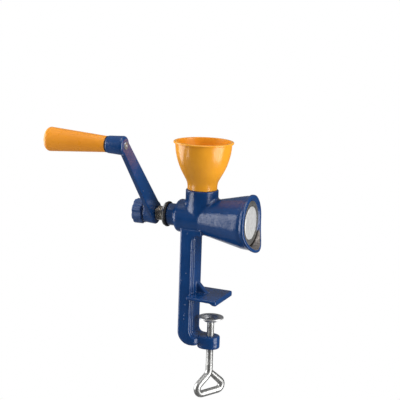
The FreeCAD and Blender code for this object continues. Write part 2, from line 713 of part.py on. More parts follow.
def hollow_solid():
    """Everything that is bored out of the casting."""
    body = new_body("hollow", hopper_x, 0, shaft_height)
    bush_bore = bush_radius + seat_gap
    ring_bore = ring_radius + seat_gap
    sketch = new_sketch(body)
    outline(sketch, [
        (neck_end - overrun, 0),
        (neck_end - overrun, bush_bore),
        (-chamber_back, bush_bore),
        (-chamber_back, chamber_radius),
        (chamber_ahead, chamber_radius),
        (ring_back - face_gap, flare_radius),
        (ring_back - face_gap, ring_bore),
        (ring_front, ring_bore),
        (ring_front, spout_back_radius),
        (spout_x, spout_bore),
        (spout_x, 0),
    ])
    turn(body, sketch)
    sketch = new_sketch(body, "XY_Plane")
    circle(sketch, throat_radius)
    pad(body, sketch, socket_height + overrun)
    sketch = new_sketch(body, "XY_Plane", (0, 0, socket_height - socket_depth))
    circle(sketch, spigot_radius + loose_gap)
    pad(body, sketch, socket_depth + overrun)
    # Half of the dowel's hole lies in the seat of the ring
    sketch = new_sketch(body, "YZ_Plane", (0, 0, ring_back - dowel_length / 2 - face_gap))
    circle(sketch, dowel_radius + seat_gap, 0, dowel_circle)
    pad(body, sketch, dowel_length)
    return body


def body_casting():
    """Grey iron sand casting, machined inside: column, jaw, foot, barrel, bell and socket in one piece."""
    blank = document.addObject("Part::MultiFuse", "blank")
    blank.Shapes = [column_solid(), barrel_solid(), bead_solid()]
    screw_bore = document.addObject("Part::Cylinder", "screw_bore")
    tie(screw_bore, "Radius", screw_radius + running_gap)
    tie(screw_bore, "Height", boss_length + overrun * 2)
    tie(screw_bore, "Placement.Base.x", screw_x)
    tie(screw_bore, "Placement.Base.z", boss_bottom - overrun)
    bored = document.addObject("Part::MultiFuse", "bored")
    bored.Shapes = [hollow_solid(), screw_bore]
    rough = document.addObject("Part::Cut", "rough")
    rough.Base = blank
    rough.Tool = bored
    rough.Refine = True
    finished = document.addObject("PartDesign::Body", "casting")
    finished.BaseFeature = rough
    document.recompute()
    mouth = (hopper_x + mouth_reach).value

    def radii(edge):
        return [math.hypot(v.Y, v.Z - shaft_height.value) for v in edge.Vertexes]

    def bead_front(edge):
        ahead = all(v.X > mouth - 0.01 for v in edge.Vertexes)
        return ahead and min(radii(edge)) > (collar_radius + bead_rise).value

    def bead_rear(edge):
        behind = mouth - bead_width.value - 0.05 < edge.BoundBox.XMin < mouth - bead_width.value + 0.05
        return behind and min(radii(edge)) > (collar_radius + bead_rise).value

    def mouth_inside(edge):
        ahead = all(v.X > mouth - 0.01 for v in edge.Vertexes)
        return ahead and min(radii(edge)) > ring_radius.value and max(radii(edge)) < collar_radius.value

    rim = (shaft_height + socket_height).value

    def socket_rim(edge):
        box = edge.BoundBox
        return box.ZMin > rim - 0.01 and box.XLength > (socket_radius * 2).value - 0.01

    def socket_root(edge):
        box = edge.BoundBox
        reach = [math.hypot(v.X - hopper_x.value, v.Y) for v in edge.Vertexes]
        on_socket = all(abs(distance - socket_radius.value) < 0.01 for distance in reach)
        return on_socket and box.ZMax < rim - 1 and box.XLength > 1

    fillet(finished, bead_edge, bead_front)
    fillet(finished, bead_back_edge, bead_rear)
    fillet(finished, mouth_edge, mouth_inside)
    fillet(finished, socket_edge, socket_rim)
    fillet(finished, socket_fillet, socket_root)
    name_part(finished, "body_casting")


# Pieces fixed in the casting

def turned(label, corners, x=hopper_x, y=0, z=shaft_height, axis="H_Axis", angle=None):
    """A piece turned around a line through x, y, z; corners are (along, radius) or (radius, height)."""
    body = new_body(label, x, y, z, angle=angle)
    turn(body, outline(new_sketch(body), corners), axis)
    name_part(body, label)
    return body


def washer(label, back, thickness, bore, radius, edge=None, **place):
    """A flat ring on the shaft, rounded on the outside if edge is given."""
    rim = (edge,) if edge is not None else ()
    return turned(label, [
        (back, bore),
        (back + thickness, bore),
        (back + thickness, radius, *rim),
        (back, radius, *rim),
    ], **place)


def bearing_bush():
    """Bronze sleeve pressed into the neck, with a flange against the back of the worm's bore."""
    bore = journal_radius + running_gap
    turned("bearing_bush", [
        (neck_end + face_gap, bore),
        (bush_flange - chamber_back + face_gap, bore),
        (bush_flange - chamber_back + face_gap, bush_flange_radius),
        (face_gap - chamber_back, bush_flange_radius),
        (face_gap - chamber_back, bush_radius),
        (neck_end + face_gap, bush_radius),
    ])


def groove_row(body, back, radius, rise, count, depth):
    """Cut straight grooves around a taper, deep at its back end and running out before the land in front.

    The taper has the given radius at its back and rises over the whole length of the ring; a positive depth
    cuts away from the axis and a negative one towards it.
    """
    reach = ring_length - land_length
    sketch = new_sketch(body, "YZ_Plane", (0, 0, back))
    outline(sketch, [
        (-groove_half_width, radius - depth / 4),
        (0, radius + depth),
        (groove_half_width, radius - depth / 4),
    ])
    cut = pocket(body, sketch, reach)
    cut.UseCustomVector = True
    cut.AlongSketchNormal = True
    cut.Direction = FreeCAD.Vector(1, 0, 0)
    tie(cut, "Direction.z", (rise * reach / ring_length - depth) / reach)
    repeat(body, cut, "N_Axis", count)


def grinding_ring():
    """Hardened ring seated in the bell; its taper is grooved up to a smooth land."""
    body = turned("grinding_ring", [
        (ring_back, ring_back_bore),
        (ring_front, ring_front_bore),
        (ring_front, ring_radius),
        (ring_back, ring_radius),
    ])
    sketch = new_sketch(body, "YZ_Plane", (0, 0, ring_back))
    circle(sketch, dowel_radius + seat_gap, 0, dowel_circle)
    pocket(body, sketch, dowel_length / 2 + face_gap, backwards=True)
    groove_row(body, ring_back, ring_back_bore, ring_front_bore - ring_back_bore, ring_grooves, groove_depth)


def ring_dowel():
    """Dowel between the back of the ring and its seat, so that the ring can't turn."""
    turned("ring_dowel", [
        (ring_back - dowel_length / 2, 0),
        (ring_back + dowel_length / 2, 0),
        (ring_back + dowel_length / 2, dowel_radius),
        (ring_back - dowel_length / 2, dowel_radius),
    ], z=shaft_height + dowel_circle)


# Shaft with everything that turns on it

def cross_hole(body, along):
    """Hole for a cross pin, right through."""
    sketch = new_sketch(body, "XY_Plane", (along, 0, 0))
    circle(sketch, pin_radius + seat_gap)
    pocket(body, sketch, ring_radius * 2, both_ways=True)


def cross_pin(label, along, around):
    """Pin through hub and shaft, its ends just below the hub's surface."""
    body = new_body(label, hopper_x, 0, shaft_height, angle=crank_angle)
    sketch = new_sketch(body, "XY_Plane", (along, 0, 0))
    circle(sketch, pin_radius)
    pad(body, sketch, (around - loose_gap * 2) * 2, both_ways=True)
    name_part(body, label)


def main_shaft():
    """Steel shaft: threaded stud for the star knob, square for the crank, journal, and nose in the cone."""
    square_back = hub_back + crank_travel_in + loose_gap
    square_front = thrust_back - journal_stand
    body = turned("main_shaft", [
        (stud_end, 0),
        (stud_end, stud_radius - stud_chamfer),
        (stud_end + stud_chamfer, stud_radius),
        (square_back, stud_radius),
        (square_back, journal_radius),
        (worm_front, journal_radius),
        (worm_front, nose_radius),
        (nose_end, nose_radius),
        (nose_end, 0),
    ], angle=crank_angle)
    half = square_width / 2
    sketch = new_sketch(body, "YZ_Plane", (0, 0, square_back))
    rectangle(sketch, -half, half, -half, half)
    circle(sketch, journal_radius * 2)
    pocket(body, sketch, square_front - square_back, backwards=True)
    cross_hole(body, worm_pin_place)
    cross_hole(body, cone_pin_place)


def feed_worm():
    """Cast sleeve with one flight that carries the nuts from the throat to the cone."""
    body = turned("feed_worm", [
        (worm_back, journal_radius + seat_gap),
        (worm_front, journal_radius + seat_gap),
        (worm_front, worm_root),
        (worm_back, worm_root),
    ], angle=crank_angle)
    flight_start = worm_pin_place + pin_radius + flight_width / 2
    sketch = new_sketch(body)
    rectangle(
        sketch, flight_start, flight_start + flight_width,
        worm_root - flight_width / 4, chamber_radius - worm_gap,
    )
    flight = body.newObject("PartDesign::AdditiveHelix", "flight")
    flight.Profile = sketch
    flight.ReferenceAxis = (sketch, ["H_Axis"])
    flight.Mode = "pitch-turns-angle"
    tie(flight, "Pitch", worm_pitch)
    tie(flight, "Turns", worm_turns)
    cross_hole(body, worm_pin_place)


def grinding_cone():
    """Hardened cone that turns in the ring, with a hub behind it and a solid polished face."""
    back_radius = ring_back_bore - grind_gap
    front_radius = ring_front_bore - grind_gap
    body = turned("grinding_cone", [
        (ring_back - cone_hub_length, nose_radius + seat_gap),
        (nose_end + face_gap, nose_radius + seat_gap),
        (nose_end + face_gap, 0),
        (ring_front, 0),
        (ring_front, front_radius, cone_edge),
        (ring_back, back_radius),
        (ring_back, cone_hub_radius),
        (ring_back - cone_hub_length, cone_hub_radius),
    ], angle=crank_angle)
    cross_hole(body, cone_pin_place)
    groove_row(body, ring_back, back_radius, front_radius - back_radius, cone_grooves, -groove_depth)


# Crank, spring and star knob

def adjusting_spring():
    """Round wire spring that pushes the crank away from the thrust washer."""
    body = new_body("adjusting_spring", hopper_x, 0, shaft_height, angle=crank_angle)
    first_coil = crank_face + face_gap + wire_radius
    sketch = new_sketch(body)
    circle(sketch, wire_radius, first_coil, spring_radius)
    coil = body.newObject("PartDesign::AdditiveHelix", "coil")
    coil.Profile = sketch
    coil.ReferenceAxis = (sketch, ["H_Axis"])
    coil.Mode = "height-turns-angle"
    tie(coil, "Height", spring_length - wire_radius * 2)
    tie(coil, "Turns", spring_turns)
    name_part(body, "adjusting_spring")


def crank_arm():
    """Cast arm with a hub on the shaft's square and a boss that holds the spindle of the grip."""
    body = new_body("crank_arm", hopper_x, 0, shaft_height, angle=crank_angle)
    sketch = new_sketch(body, "YZ_Plane", (0, 0, crank_face))
    outline(sketch, [
        (-arm_root_width / 2, 0),
        (arm_root_width / 2, 0),
        (arm_tip_width / 2, crank_length),
        (-arm_tip_width / 2, crank_length),
    ])
    pad(body, sketch, arm_thickness, backwards=True)

    def long_edge(edge):
        return edge.Length > crank_length.value

    fillet(body, arm_edge, long_edge)
    rounded_boss(body, 0, hub_radius, arm_edge, hub_back, hub_back_radius)
    rounded_boss(body, crank_length, knuckle_radius, knuckle_edge, knuckle_back, knuckle_back_radius)
    sketch = new_sketch(body, "YZ_Plane", (0, 0, crank_face))
    half = square_width / 2 + square_gap
    rectangle(sketch, -half, half, -half, half)
    pocket(body, sketch, hub_length * 4, both_ways=True)
    sketch = new_sketch(body, "YZ_Plane", (0, 0, crank_face))
    circle(sketch, spindle_radius + seat_gap, 0, crank_length)
    pocket(body, sketch, knuckle_length * 4, both_ways=True)
    name_part(body, "crank_arm")


def rounded_boss(body, up, radius, front_edge, back, back_radius):
    """Add a tapered boss that runs back from the crank's face."""
    sketch = new_sketch(body, shift=(0, up, 0))
    outline(sketch, [
        (crank_face, 0),
        (crank_face, radius, front_edge),
        (back, back_radius, arm_edge),
        (back, 0),
    ])
    turn(body, sketch)


def on_spindle(label, corners):
    """A piece turned around the axis of the grip."""
    return turned(label, corners, y=grip_y, z=grip_z, angle=crank_angle)


def handle_spindle():
    """Steel pin riveted through the crank's boss; its head lies in the grip's recess."""
    rivet_back = crank_face + face_gap
    on_spindle("handle_spindle", [
        (head_front - spindle_head, 0),
        (head_front - spindle_head, spindle_head_radius, rivet_height),
        (head_front, spindle_head_radius),
        (head_front, spindle_radius),
        (rivet_back, spindle_radius),
        (rivet_back, rivet_radius),
        (rivet_back + rivet_height, rivet_radius - rivet_height / 2),
        (rivet_back + rivet_height, rivet_dimple),
        (rivet_back, 0),
    ])


def grip():
    """Tapered plastic handle that turns on the spindle, with a recess for the spindle's head."""
    bore = spindle_radius + running_gap
    on_spindle("grip", [
        (grip_near, bore),
        (grip_near, grip_near_radius, arm_edge / 2),
        (grip_end, grip_far_radius, grip_round),
        (grip_end, recess_radius),
        (recess_floor, recess_radius),
        (recess_floor, bore),
    ])


def grip_cap():
    """Plug that closes the recess of the grip."""
    radius = recess_radius - seat_gap
    on_spindle("grip_cap", [
        (grip_end, 0),
        (grip_end + cap_thickness, 0),
        (grip_end + cap_thickness, radius),
        (grip_end, radius),
    ])


def spindle_washers():
    """Washer between the crank's boss and the grip, and the one under the spindle's head."""
    bore = spindle_radius + running_gap
    place = {"y": grip_y, "z": grip_z, "angle": crank_angle}
    washer(
        "spindle_washer", grip_near + face_gap, collar_washer_thickness, bore, collar_washer_radius, **place
    )
    washer(
        "spindle_head_washer", head_front + face_gap, head_washer_thickness, bore, head_washer_radius, **place
    )


def hexagon(sketch, width):
    """Draw a hexagon by its width across the flats."""
    half, corner = width / 2, width / math.sqrt(3)
    outline(sketch, [
        (corner, 0), (corner / 2, half), (-corner / 2, half),
        (-corner, 0), (-corner / 2, -half), (corner / 2, -half),
    ])


def star_knob():
    """Lobed cast knob on the threaded stud, which sets how far the cone is drawn into the ring."""
    body = turned("star_knob", [
        (knob_face, 0),
        (knob_face, knob_neck_radius),
        (knob_face - knob_neck, knob_neck_radius),
        (knob_face - knob_neck, knob_radius, knob_edge / 2),
        (knob_back, knob_radius, knob_edge),
        (knob_back, 0),
    ], angle=crank_angle)
    sketch = new_sketch(body, "YZ_Plane", (0, 0, knob_back - overrun))
    circle(sketch, scallop_radius, 0, knob_radius - scallop_depth + scallop_radius)
    scallop = pocket(body, sketch, knob_length - knob_neck + overrun, backwards=True)
    repeat(body, scallop, "N_Axis", knob_lobes)
    sketch = new_sketch(body, "YZ_Plane", (0, 0, knob_face))
    hexagon(sketch, insert_width + seat_gap * 2)
    pocket(body, sketch, insert_length + face_gap)
    sketch = new_sketch(body, "YZ_Plane", (0, 0, knob_face))
    circle(sketch, stud_radius + loose_gap)
    pocket(body, sketch, knob_length - stud_bore_wall)


def knob_insert():
    """Threaded hexagon cast into the star knob."""
    body = new_body("knob_insert", hopper_x, 0, shaft_height, angle=crank_angle)
    sketch = new_sketch(body, "YZ_Plane", (0, 0, knob_face - insert_length))
    hexagon(sketch, insert_width)
    circle(sketch, stud_radius + running_gap)
    pad(body, sketch, insert_length)
    name_part(body, "knob_insert")


# Hopper

def hopper():
    """Moulded funnel that stands in the socket and lifts out."""
    flare, upper = hopper_flare_angle, hopper_wall_angle
    bottom_bore = spigot_radius - hopper_wall
    flare_radius_top = hopper_neck_radius + (hopper_flare_height - hopper_neck_height) * tangent(flare)
    lip_under = hopper_height - rim_thickness
    wall_under_lip = flare_radius_top + (lip_under - hopper_flare_height) * tangent(upper)
    # The inner corners lie where the wall's inner lines, one wall thickness inside the outer ones, meet
    neck_step = bottom_bore - hopper_neck_radius + hopper_wall / cosine(flare)
    inner_waist = hopper_neck_height + neck_step / tangent(flare)
    steepening = hopper_wall * (1 / cosine(flare) - 1 / cosine(upper)) / (tangent(flare) - tangent(upper))
    inner_bowl = flare_radius_top + steepening * tangent(upper) - hopper_wall / cosine(upper)
    inner_top = inner_bowl + (hopper_height - hopper_flare_height - steepening) * tangent(upper)
    turned("hopper", [
        (bottom_bore, -spigot_length),
        (spigot_radius, -spigot_length),
        (spigot_radius, face_gap),
        (hopper_neck_radius, face_gap, hopper_foot_edge),
        (hopper_neck_radius, hopper_neck_height, hopper_waist_curve),
        (flare_radius_top, hopper_flare_height, hopper_bowl_curve),
        (wall_under_lip, lip_under),
        (rim_radius, lip_under, rim_edge),
        (rim_radius, hopper_height, rim_edge),
        (inner_top, hopper_height, rim_edge / 2),
        (inner_bowl, hopper_flare_height + steepening, hopper_bowl_curve - hopper_wall),
        (bottom_bore, inner_waist, hopper_waist_curve + hopper_wall),
    ], z=shaft_height + socket_height, axis="V_Axis")


# Clamp

def clamp_pad():
    """Pressed sheet pad with a flat rim and a dished middle, loose on the tip of the screw."""
    rim_inside = pad_radius - pad_rim
    floor_radius = rim_inside - pad_depth / tangent(pad_wall_angle)
    # The lower side runs one sheet thickness from the upper one, so its corners lie further out
    further = pad_sheet * tangent(pad_wall_angle / 2)
    hole = tip_radius + running_gap
    outer_bend = pad_bend + pad_sheet
    turned("clamp_pad", [
        (hole, pad_floor),
        (floor_radius, pad_floor, pad_bend),
        (rim_inside, pad_top, outer_bend),
        (pad_radius, pad_top, pad_edge),
        (pad_radius, pad_top - pad_sheet),
        (rim_inside + further, pad_top - pad_sheet, pad_bend),
        (floor_radius + further, pad_floor - pad_sheet, outer_bend),
        (hole, pad_floor - pad_sheet),
    ], x=screw_x, z=0, axis="V_Axis")


def clamp_screw():
    """Threaded rod bent into a closed loop handle; its tip is peened over the pad."""
    body = new_body("clamp_screw", screw_x, 0, 0, (0, 0, 1), loop_angle)
    shoulder = pad_floor - pad_sheet - face_gap
    head_bottom = pad_floor + face_gap
    path = new_sketch(body)
    outline(path, [
        (0, shoulder),
        (0, -loop_neck_drop, loop_neck_curve),
        (-loop_left, -loop_left_drop, loop_left_curve),
        (loop_right, -loop_right_drop, loop_right_curve),
        (loop_end, -loop_end_drop),
    ], closed=False)
    section = new_sketch(body, "XY_Plane", (0, 0, shoulder))
    circle(section, screw_radius)
    rod = body.newObject("PartDesign::AdditivePipe", "rod")
    rod.Profile = section
    rod.Spine = path
    sketch = new_sketch(body)
    outline(sketch, [
        (0, shoulder - overrun),
        (tip_radius, shoulder - overrun),
        (tip_radius, head_bottom),
        (tip_head_radius, head_bottom, tip_head / 4),
        (tip_crown_radius, head_bottom + tip_head),
        (0, head_bottom + tip_head),
    ])
    turn(body, sketch, "V_Axis")
    loop_weld(body)
    name_part(body, "clamp_screw")


def loop_weld(body):
    """Forged end of the loop, which runs on to the rod and closes it."""
    lean = bearing(loop_end - loop_right, loop_right_drop - loop_end_drop)
    sketch = new_sketch(body, shift=(loop_end, -loop_end_drop, 0), lean=lean)
    outline(sketch, [
        (0, 0),
        (loop_weld_length, 0),
        (loop_weld_length, loop_weld_radius),
        (0, screw_radius),
    ])
    turn(body, sketch)


def finish():
    """Stop if anything failed, then write every sub-part."""
    document.recompute()
    for item in document.Objects:
        if "Invalid" in item.State or "Error" in item.State:
            raise RuntimeError(f"{item.Label} failed: {item.State}")
    os.makedirs("parts", exist_ok=True)
    for part in sub_parts:
        if part.Shape.isNull() or not part.Shape.isValid():
            raise RuntimeError(f"{part.Label} is not a valid solid")
        part.Shape.exportStep(f"parts/{part.Label}.step")
        print(f"{part.Label}: {len(part.Shape.Solids)} solid, {part.Shape.Volume:.1f} mm3")


body_casting()
bearing_bush()
grinding_ring()
ring_dowel()
washer("seal_washer", seal_back, seal_thickness, journal_radius + loose_gap, seal_radius, seal_edge)
washer("thrust_washer", thrust_back, thrust_thickness, journal_radius + face_gap, thrust_radius)
main_shaft()
feed_worm()
cross_pin("worm_pin", worm_pin_place, worm_root)
grinding_cone()
cross_pin("cone_pin", cone_pin_place, cone_hub_radius)
adjusting_spring()
crank_arm()
handle_spindle()
spindle_washers()
grip()
grip_cap()
washer(
    "knob_washer", knob_face + face_gap, knob_washer_thickness,
    stud_radius + loose_gap, knob_washer_radius, angle=crank_angle,
)
star_knob()
knob_insert()
hopper()
clamp_pad()
clamp_screw()
finish()
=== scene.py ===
# Hand cranked nut and seed mill that clamps to the edge of a table.
# Metres, +Z up, +X along the main shaft towards the mouth.
# The origin is the middle of the jaw's gripping lip.

import math

import bmesh
import bpy
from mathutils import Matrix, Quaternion, Vector


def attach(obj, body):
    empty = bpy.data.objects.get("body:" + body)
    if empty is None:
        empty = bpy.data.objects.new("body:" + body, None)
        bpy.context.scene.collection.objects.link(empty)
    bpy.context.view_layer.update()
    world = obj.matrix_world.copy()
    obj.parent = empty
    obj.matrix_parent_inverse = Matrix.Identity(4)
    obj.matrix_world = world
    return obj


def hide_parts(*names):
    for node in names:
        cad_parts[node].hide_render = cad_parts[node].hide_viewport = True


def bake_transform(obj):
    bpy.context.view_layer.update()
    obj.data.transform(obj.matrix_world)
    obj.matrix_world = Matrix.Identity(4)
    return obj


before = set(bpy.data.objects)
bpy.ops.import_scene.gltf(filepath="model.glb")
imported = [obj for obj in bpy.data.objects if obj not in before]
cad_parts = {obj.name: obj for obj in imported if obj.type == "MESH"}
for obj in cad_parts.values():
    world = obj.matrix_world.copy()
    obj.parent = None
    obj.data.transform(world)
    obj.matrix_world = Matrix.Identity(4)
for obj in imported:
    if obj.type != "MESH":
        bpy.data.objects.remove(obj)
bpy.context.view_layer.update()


# Casting: column, jaw, foot, barrel, bell and hopper socket in one piece of grey iron.
# Sand cast, dipped in blue enamel, then bored. The bores behind the mouth and the chin's floor are bare.

SHAFT_HEIGHT = 0.1077
ENAMEL_DEEP = (0.0025, 0.036, 0.142, 1)
ENAMEL_LIGHT = (0.0032, 0.047, 0.180, 1)
BARE_IRON_DARK = (0.17, 0.15, 0.14, 1)
BARE_IRON_LIGHT = (0.36, 0.33, 0.31, 1)
# Near black of the joint round the ring: partly the real joint, partly painted shade in its gap
RING_JOINT_SHADE = (0.015, 0.012, 0.010, 1)
# Place along the shaft and radius of the bore at both ends of the mouth
MOUTH_BACK, MOUTH_BACK_BORE = 0.0347, 0.0302
MOUTH_FRONT, MOUTH_FRONT_BORE = 0.0547, 0.0350
NECK_BORE = 0.0130
# The enamel stops this far outside a bore, and this far below the shaft on the chin
PAINT_EDGE, PAINT_EDGE_WIDTH = 0.0006, 0.0003
CHIN_PAINT_TOP, CHIN_PAINT_FADE = -0.0125, 0.003
# How much both edges of the paint waver, and how far behind the mouth's back they still count as the mouth
BORE_WAVER, CHIN_WAVER = (-0.0002, 0.0003), (-0.0015, 0.0015)
MOUTH_SLACK = 0.0005
# The dark joint round the ring with painted shade in its gap, in front of the mouth's back
JOINT_SHADE_FULL, JOINT_SHADE_END = 0.0008, 0.0022
BARE_METALLIC, BARE_DULLER = 0.75, 0.2
# Noise seldom leaves this range
NOISE_LOW, NOISE_HIGH = 0.3, 0.7


def new_finish(name, **plain):
    """A material with one Principled shader; plain holds the values that are the same all over."""
    finish = bpy.data.materials.new(name)
    finish.use_nodes = True
    tree = finish.node_tree
    shader = tree.nodes["Principled BSDF"]
    for socket, value in plain.items():
        shader.inputs[socket.replace("_", " ")].default_value = value
    place = tree.nodes.new("ShaderNodeTexCoord").outputs["Object"]
    return finish, tree, shader, place


def feed(tree, socket, value):
    """Link an output into a socket, or write a plain value on it."""
    if isinstance(value, bpy.types.NodeSocket):
        tree.links.new(value, socket)
    else:
        socket.default_value = value


def maths(tree, operation, *values):
    """One step of arithmetic; each value is a number or an output."""
    node = tree.nodes.new("ShaderNodeMath")
    node.operation = operation
    for socket, value in zip(node.inputs, values):
        feed(tree, socket, value)
    return node.outputs["Value"]


def spread(tree, value, low, high, out_low, out_high):
    """Stretch low..high to out_low..out_high, and hold the ends beyond it."""
    node = tree.nodes.new("ShaderNodeMapRange")
    for socket, number in zip(("From Min", "From Max", "To Min", "To Max"), (low, high, out_low, out_high)):
        feed(tree, node.inputs[socket], number)
    tree.links.new(value, node.inputs["Value"])
    return node.outputs["Result"]


def grain(tree, place, size, detail):
    """Noise with lumps about as large as size."""
    texture = tree.nodes.new("ShaderNodeTexNoise")
    texture.inputs["Scale"].default_value = 1 / size
    texture.inputs["Detail"].default_value = detail
    tree.links.new(place, texture.inputs["Vector"])
    return texture.outputs["Fac"]


def vary(tree, place, size, detail, low=0, high=1):
    """A value that wanders from low to high in lumps about as large as size."""
    return spread(tree, grain(tree, place, size, detail), NOISE_LOW, NOISE_HIGH, low, high)


def mix_colours(tree, share, first, second):
    """Share 0 gives the first colour, 1 the second; each is a colour or an output."""
    node = tree.nodes.new("ShaderNodeMix")
    node.data_type = "RGBA"
    tree.links.new(share, node.inputs["Factor"])
    feed(tree, node.inputs[6], first)
    feed(tree, node.inputs[7], second)
    return node.outputs[2]


def relief(tree, height, depth, below=None):
    """Bump of the given depth, laid over the one below."""
    node = tree.nodes.new("ShaderNodeBump")
    node.inputs["Distance"].default_value = depth
    tree.links.new(height, node.inputs["Height"])
    if below is not None:
        tree.links.new(below, node.inputs["Normal"])
    return node.outputs["Normal"]


def nibs(tree, place, spacing, radius, share):
    """Specks of dust in a share of the cells: 1 in the middle of a speck, 0 beside it."""
    cells = tree.nodes.new("ShaderNodeTexVoronoi")
    cells.inputs["Scale"].default_value = 1 / spacing
    tree.links.new(place, cells.inputs["Vector"])
    near = spread(tree, cells.outputs["Distance"], 0, radius / spacing, 1, 0)
    lot = tree.nodes.new("ShaderNodeSeparateColor")
    tree.links.new(cells.outputs["Color"], lot.inputs["Color"])
    return maths(tree, "MULTIPLY", near, maths(tree, "LESS_THAN", lot.outputs["Red"], share))


def enamel(name, smooth=0.17, dull=0.27, specular=0.55):
    """Dipped enamel over sand cast iron: deep gloss, soft waves, fine sand grain and a few dust nibs."""
    finish, tree, shader, place = new_finish(name, Specular_IOR_Level=specular)
    colour = mix_colours(tree, vary(tree, place, 0.030, 3), ENAMEL_DEEP, ENAMEL_LIGHT)
    rough = vary(tree, place, 0.012, 3, smooth, dull)
    waves = relief(tree, grain(tree, place, 0.0085, 1), depth=0.00030)
    sand = relief(tree, grain(tree, place, 0.0026, 2), depth=0.00017, below=waves)
    dust = nibs(tree, place, spacing=0.0065, radius=0.0011, share=0.32)
    normal = relief(tree, dust, depth=0.0007, below=sand)
    tree.links.new(normal, shader.inputs["Normal"])
    return finish, tree, shader, place, colour, rough


def enamel_only(name, **sheen):
    """Enamel all over."""
    finish, tree, shader, _, colour, rough = enamel(name, **sheen)
    tree.links.new(colour, shader.inputs["Base Color"])
    tree.links.new(rough, shader.inputs["Roughness"])
    return finish


def enamel_with_bare_mouth(name):
    """The same enamel, with iron showing on the floor of the chin and in the bores behind the mouth, and a
    dark joint with painted shade round the ring.
    """
    finish, tree, shader, place, colour, rough = enamel(name)
    split = tree.nodes.new("ShaderNodeSeparateXYZ")
    tree.links.new(place, split.inputs["Vector"])
    along, across = split.outputs["X"], split.outputs["Y"]
    up = maths(tree, "SUBTRACT", split.outputs["Z"], SHAFT_HEIGHT)
    squares = [maths(tree, "MULTIPLY", side, side) for side in (across, up)]
    radius = maths(tree, "SQRT", maths(tree, "ADD", *squares))

    in_mouth = maths(tree, "GREATER_THAN", along, MOUTH_BACK - MOUTH_SLACK)
    mouth = spread(tree, along, MOUTH_BACK, MOUTH_FRONT, MOUTH_BACK_BORE, MOUTH_FRONT_BORE)
    bore = maths(tree, "MULTIPLY_ADD", in_mouth, maths(tree, "SUBTRACT", mouth, NECK_BORE), NECK_BORE)
    ragged = vary(tree, place, 0.002, 2, *BORE_WAVER)
    depth = maths(tree, "SUBTRACT", maths(tree, "ADD", bore, ragged), radius)
    bored = spread(tree, depth, -PAINT_EDGE - PAINT_EDGE_WIDTH, -PAINT_EDGE, 0, 1)

    drop = maths(tree, "ADD", up, vary(tree, place, 0.004, 2, *CHIN_WAVER))
    chin = spread(tree, drop, CHIN_PAINT_TOP, CHIN_PAINT_TOP - CHIN_PAINT_FADE, 0, 1)
    unpainted = maths(tree, "MAXIMUM", chin, maths(tree, "SUBTRACT", 1.0, in_mouth))
    bare = maths(tree, "MULTIPLY", bored, unpainted)

    streaks = spread(tree, grain(tree, place, 0.0035, 4), 0.35, 0.65, 0, 1)
    iron = mix_colours(tree, streaks, BARE_IRON_DARK, BARE_IRON_LIGHT)
    # Painted shade: the bore darkens to near black just in front of the ring, as if shaded in the gap
    joint_shade = spread(tree, along, MOUTH_BACK + JOINT_SHADE_FULL, MOUTH_BACK + JOINT_SHADE_END, 1, 0)
    iron = mix_colours(tree, joint_shade, iron, RING_JOINT_SHADE)
    tree.links.new(mix_colours(tree, bare, colour, iron), shader.inputs["Base Color"])
    tree.links.new(maths(tree, "MULTIPLY", bare, BARE_METALLIC), shader.inputs["Metallic"])
    tree.links.new(maths(tree, "MULTIPLY_ADD", bare, BARE_DULLER, rough), shader.inputs["Roughness"])
    return finish


def placed(name, data):
    """A new object in the scene."""
    thing = bpy.data.objects.new(name, data)
    bpy.context.scene.collection.objects.link(thing)
    return thing


def plain_mesh(blank, name, finish):
    """The blank with its modifiers applied, as a new object with one material."""
    bpy.context.view_layer.update()
    evaluated = blank.evaluated_get(bpy.context.evaluated_depsgraph_get())
    mesh = bpy.data.meshes.new_from_object(evaluated)
    bpy.data.objects.remove(blank)
    mesh.name = name
    mesh.materials.clear()
    mesh.materials.append(finish)
    mesh.polygons.foreach_set("use_smooth", [True] * len(mesh.polygons))
    return placed(name, mesh)


def merged_copy(node):
    """The node's mesh as one closed skin."""
    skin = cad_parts[node].data.copy()
    work = bmesh.new()
    work.from_mesh(skin)
    bmesh.ops.remove_doubles(work, verts=work.verts, dist=1e-6)
    work.to_mesh(skin)
    work.free()
    return skin


def sand_cast(node, name, finish, cell, rounds, share):
    """A casting has no sharp edge under its enamel, so the solid's skin is rebuilt in cells, relaxed in a few
    rounds and thinned to a share of its faces."""
    blank = placed(f"{name}_blank", merged_copy(node))
    cells = blank.modifiers.new("cells", "REMESH")
    cells.mode = "VOXEL"
    cells.voxel_size = cell
    relax = blank.modifiers.new("relax", "SMOOTH")
    relax.factor = 0.5
    relax.iterations = rounds
    thin = blank.modifiers.new("thin", "DECIMATE")
    thin.ratio = share
    return plain_mesh(blank, name, finish)


body_enamel = enamel_with_bare_mouth("enamel_and_bare_iron")
casting = sand_cast("body_casting", "casting", body_enamel, cell=0.0008, rounds=3, share=0.42)
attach(casting, "housing")
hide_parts("body_casting")


# Bearing bush: carries the rear of the shaft in the neck of the casting.
# Sintered bronze, turned, and pressed in until its flange meets the back of the worm's bore.

SHAFT_AXIS = (0, 0, SHAFT_HEIGHT)
# The wave texture's rings are this far apart at scale 1
WAVE_SPACING = 0.314


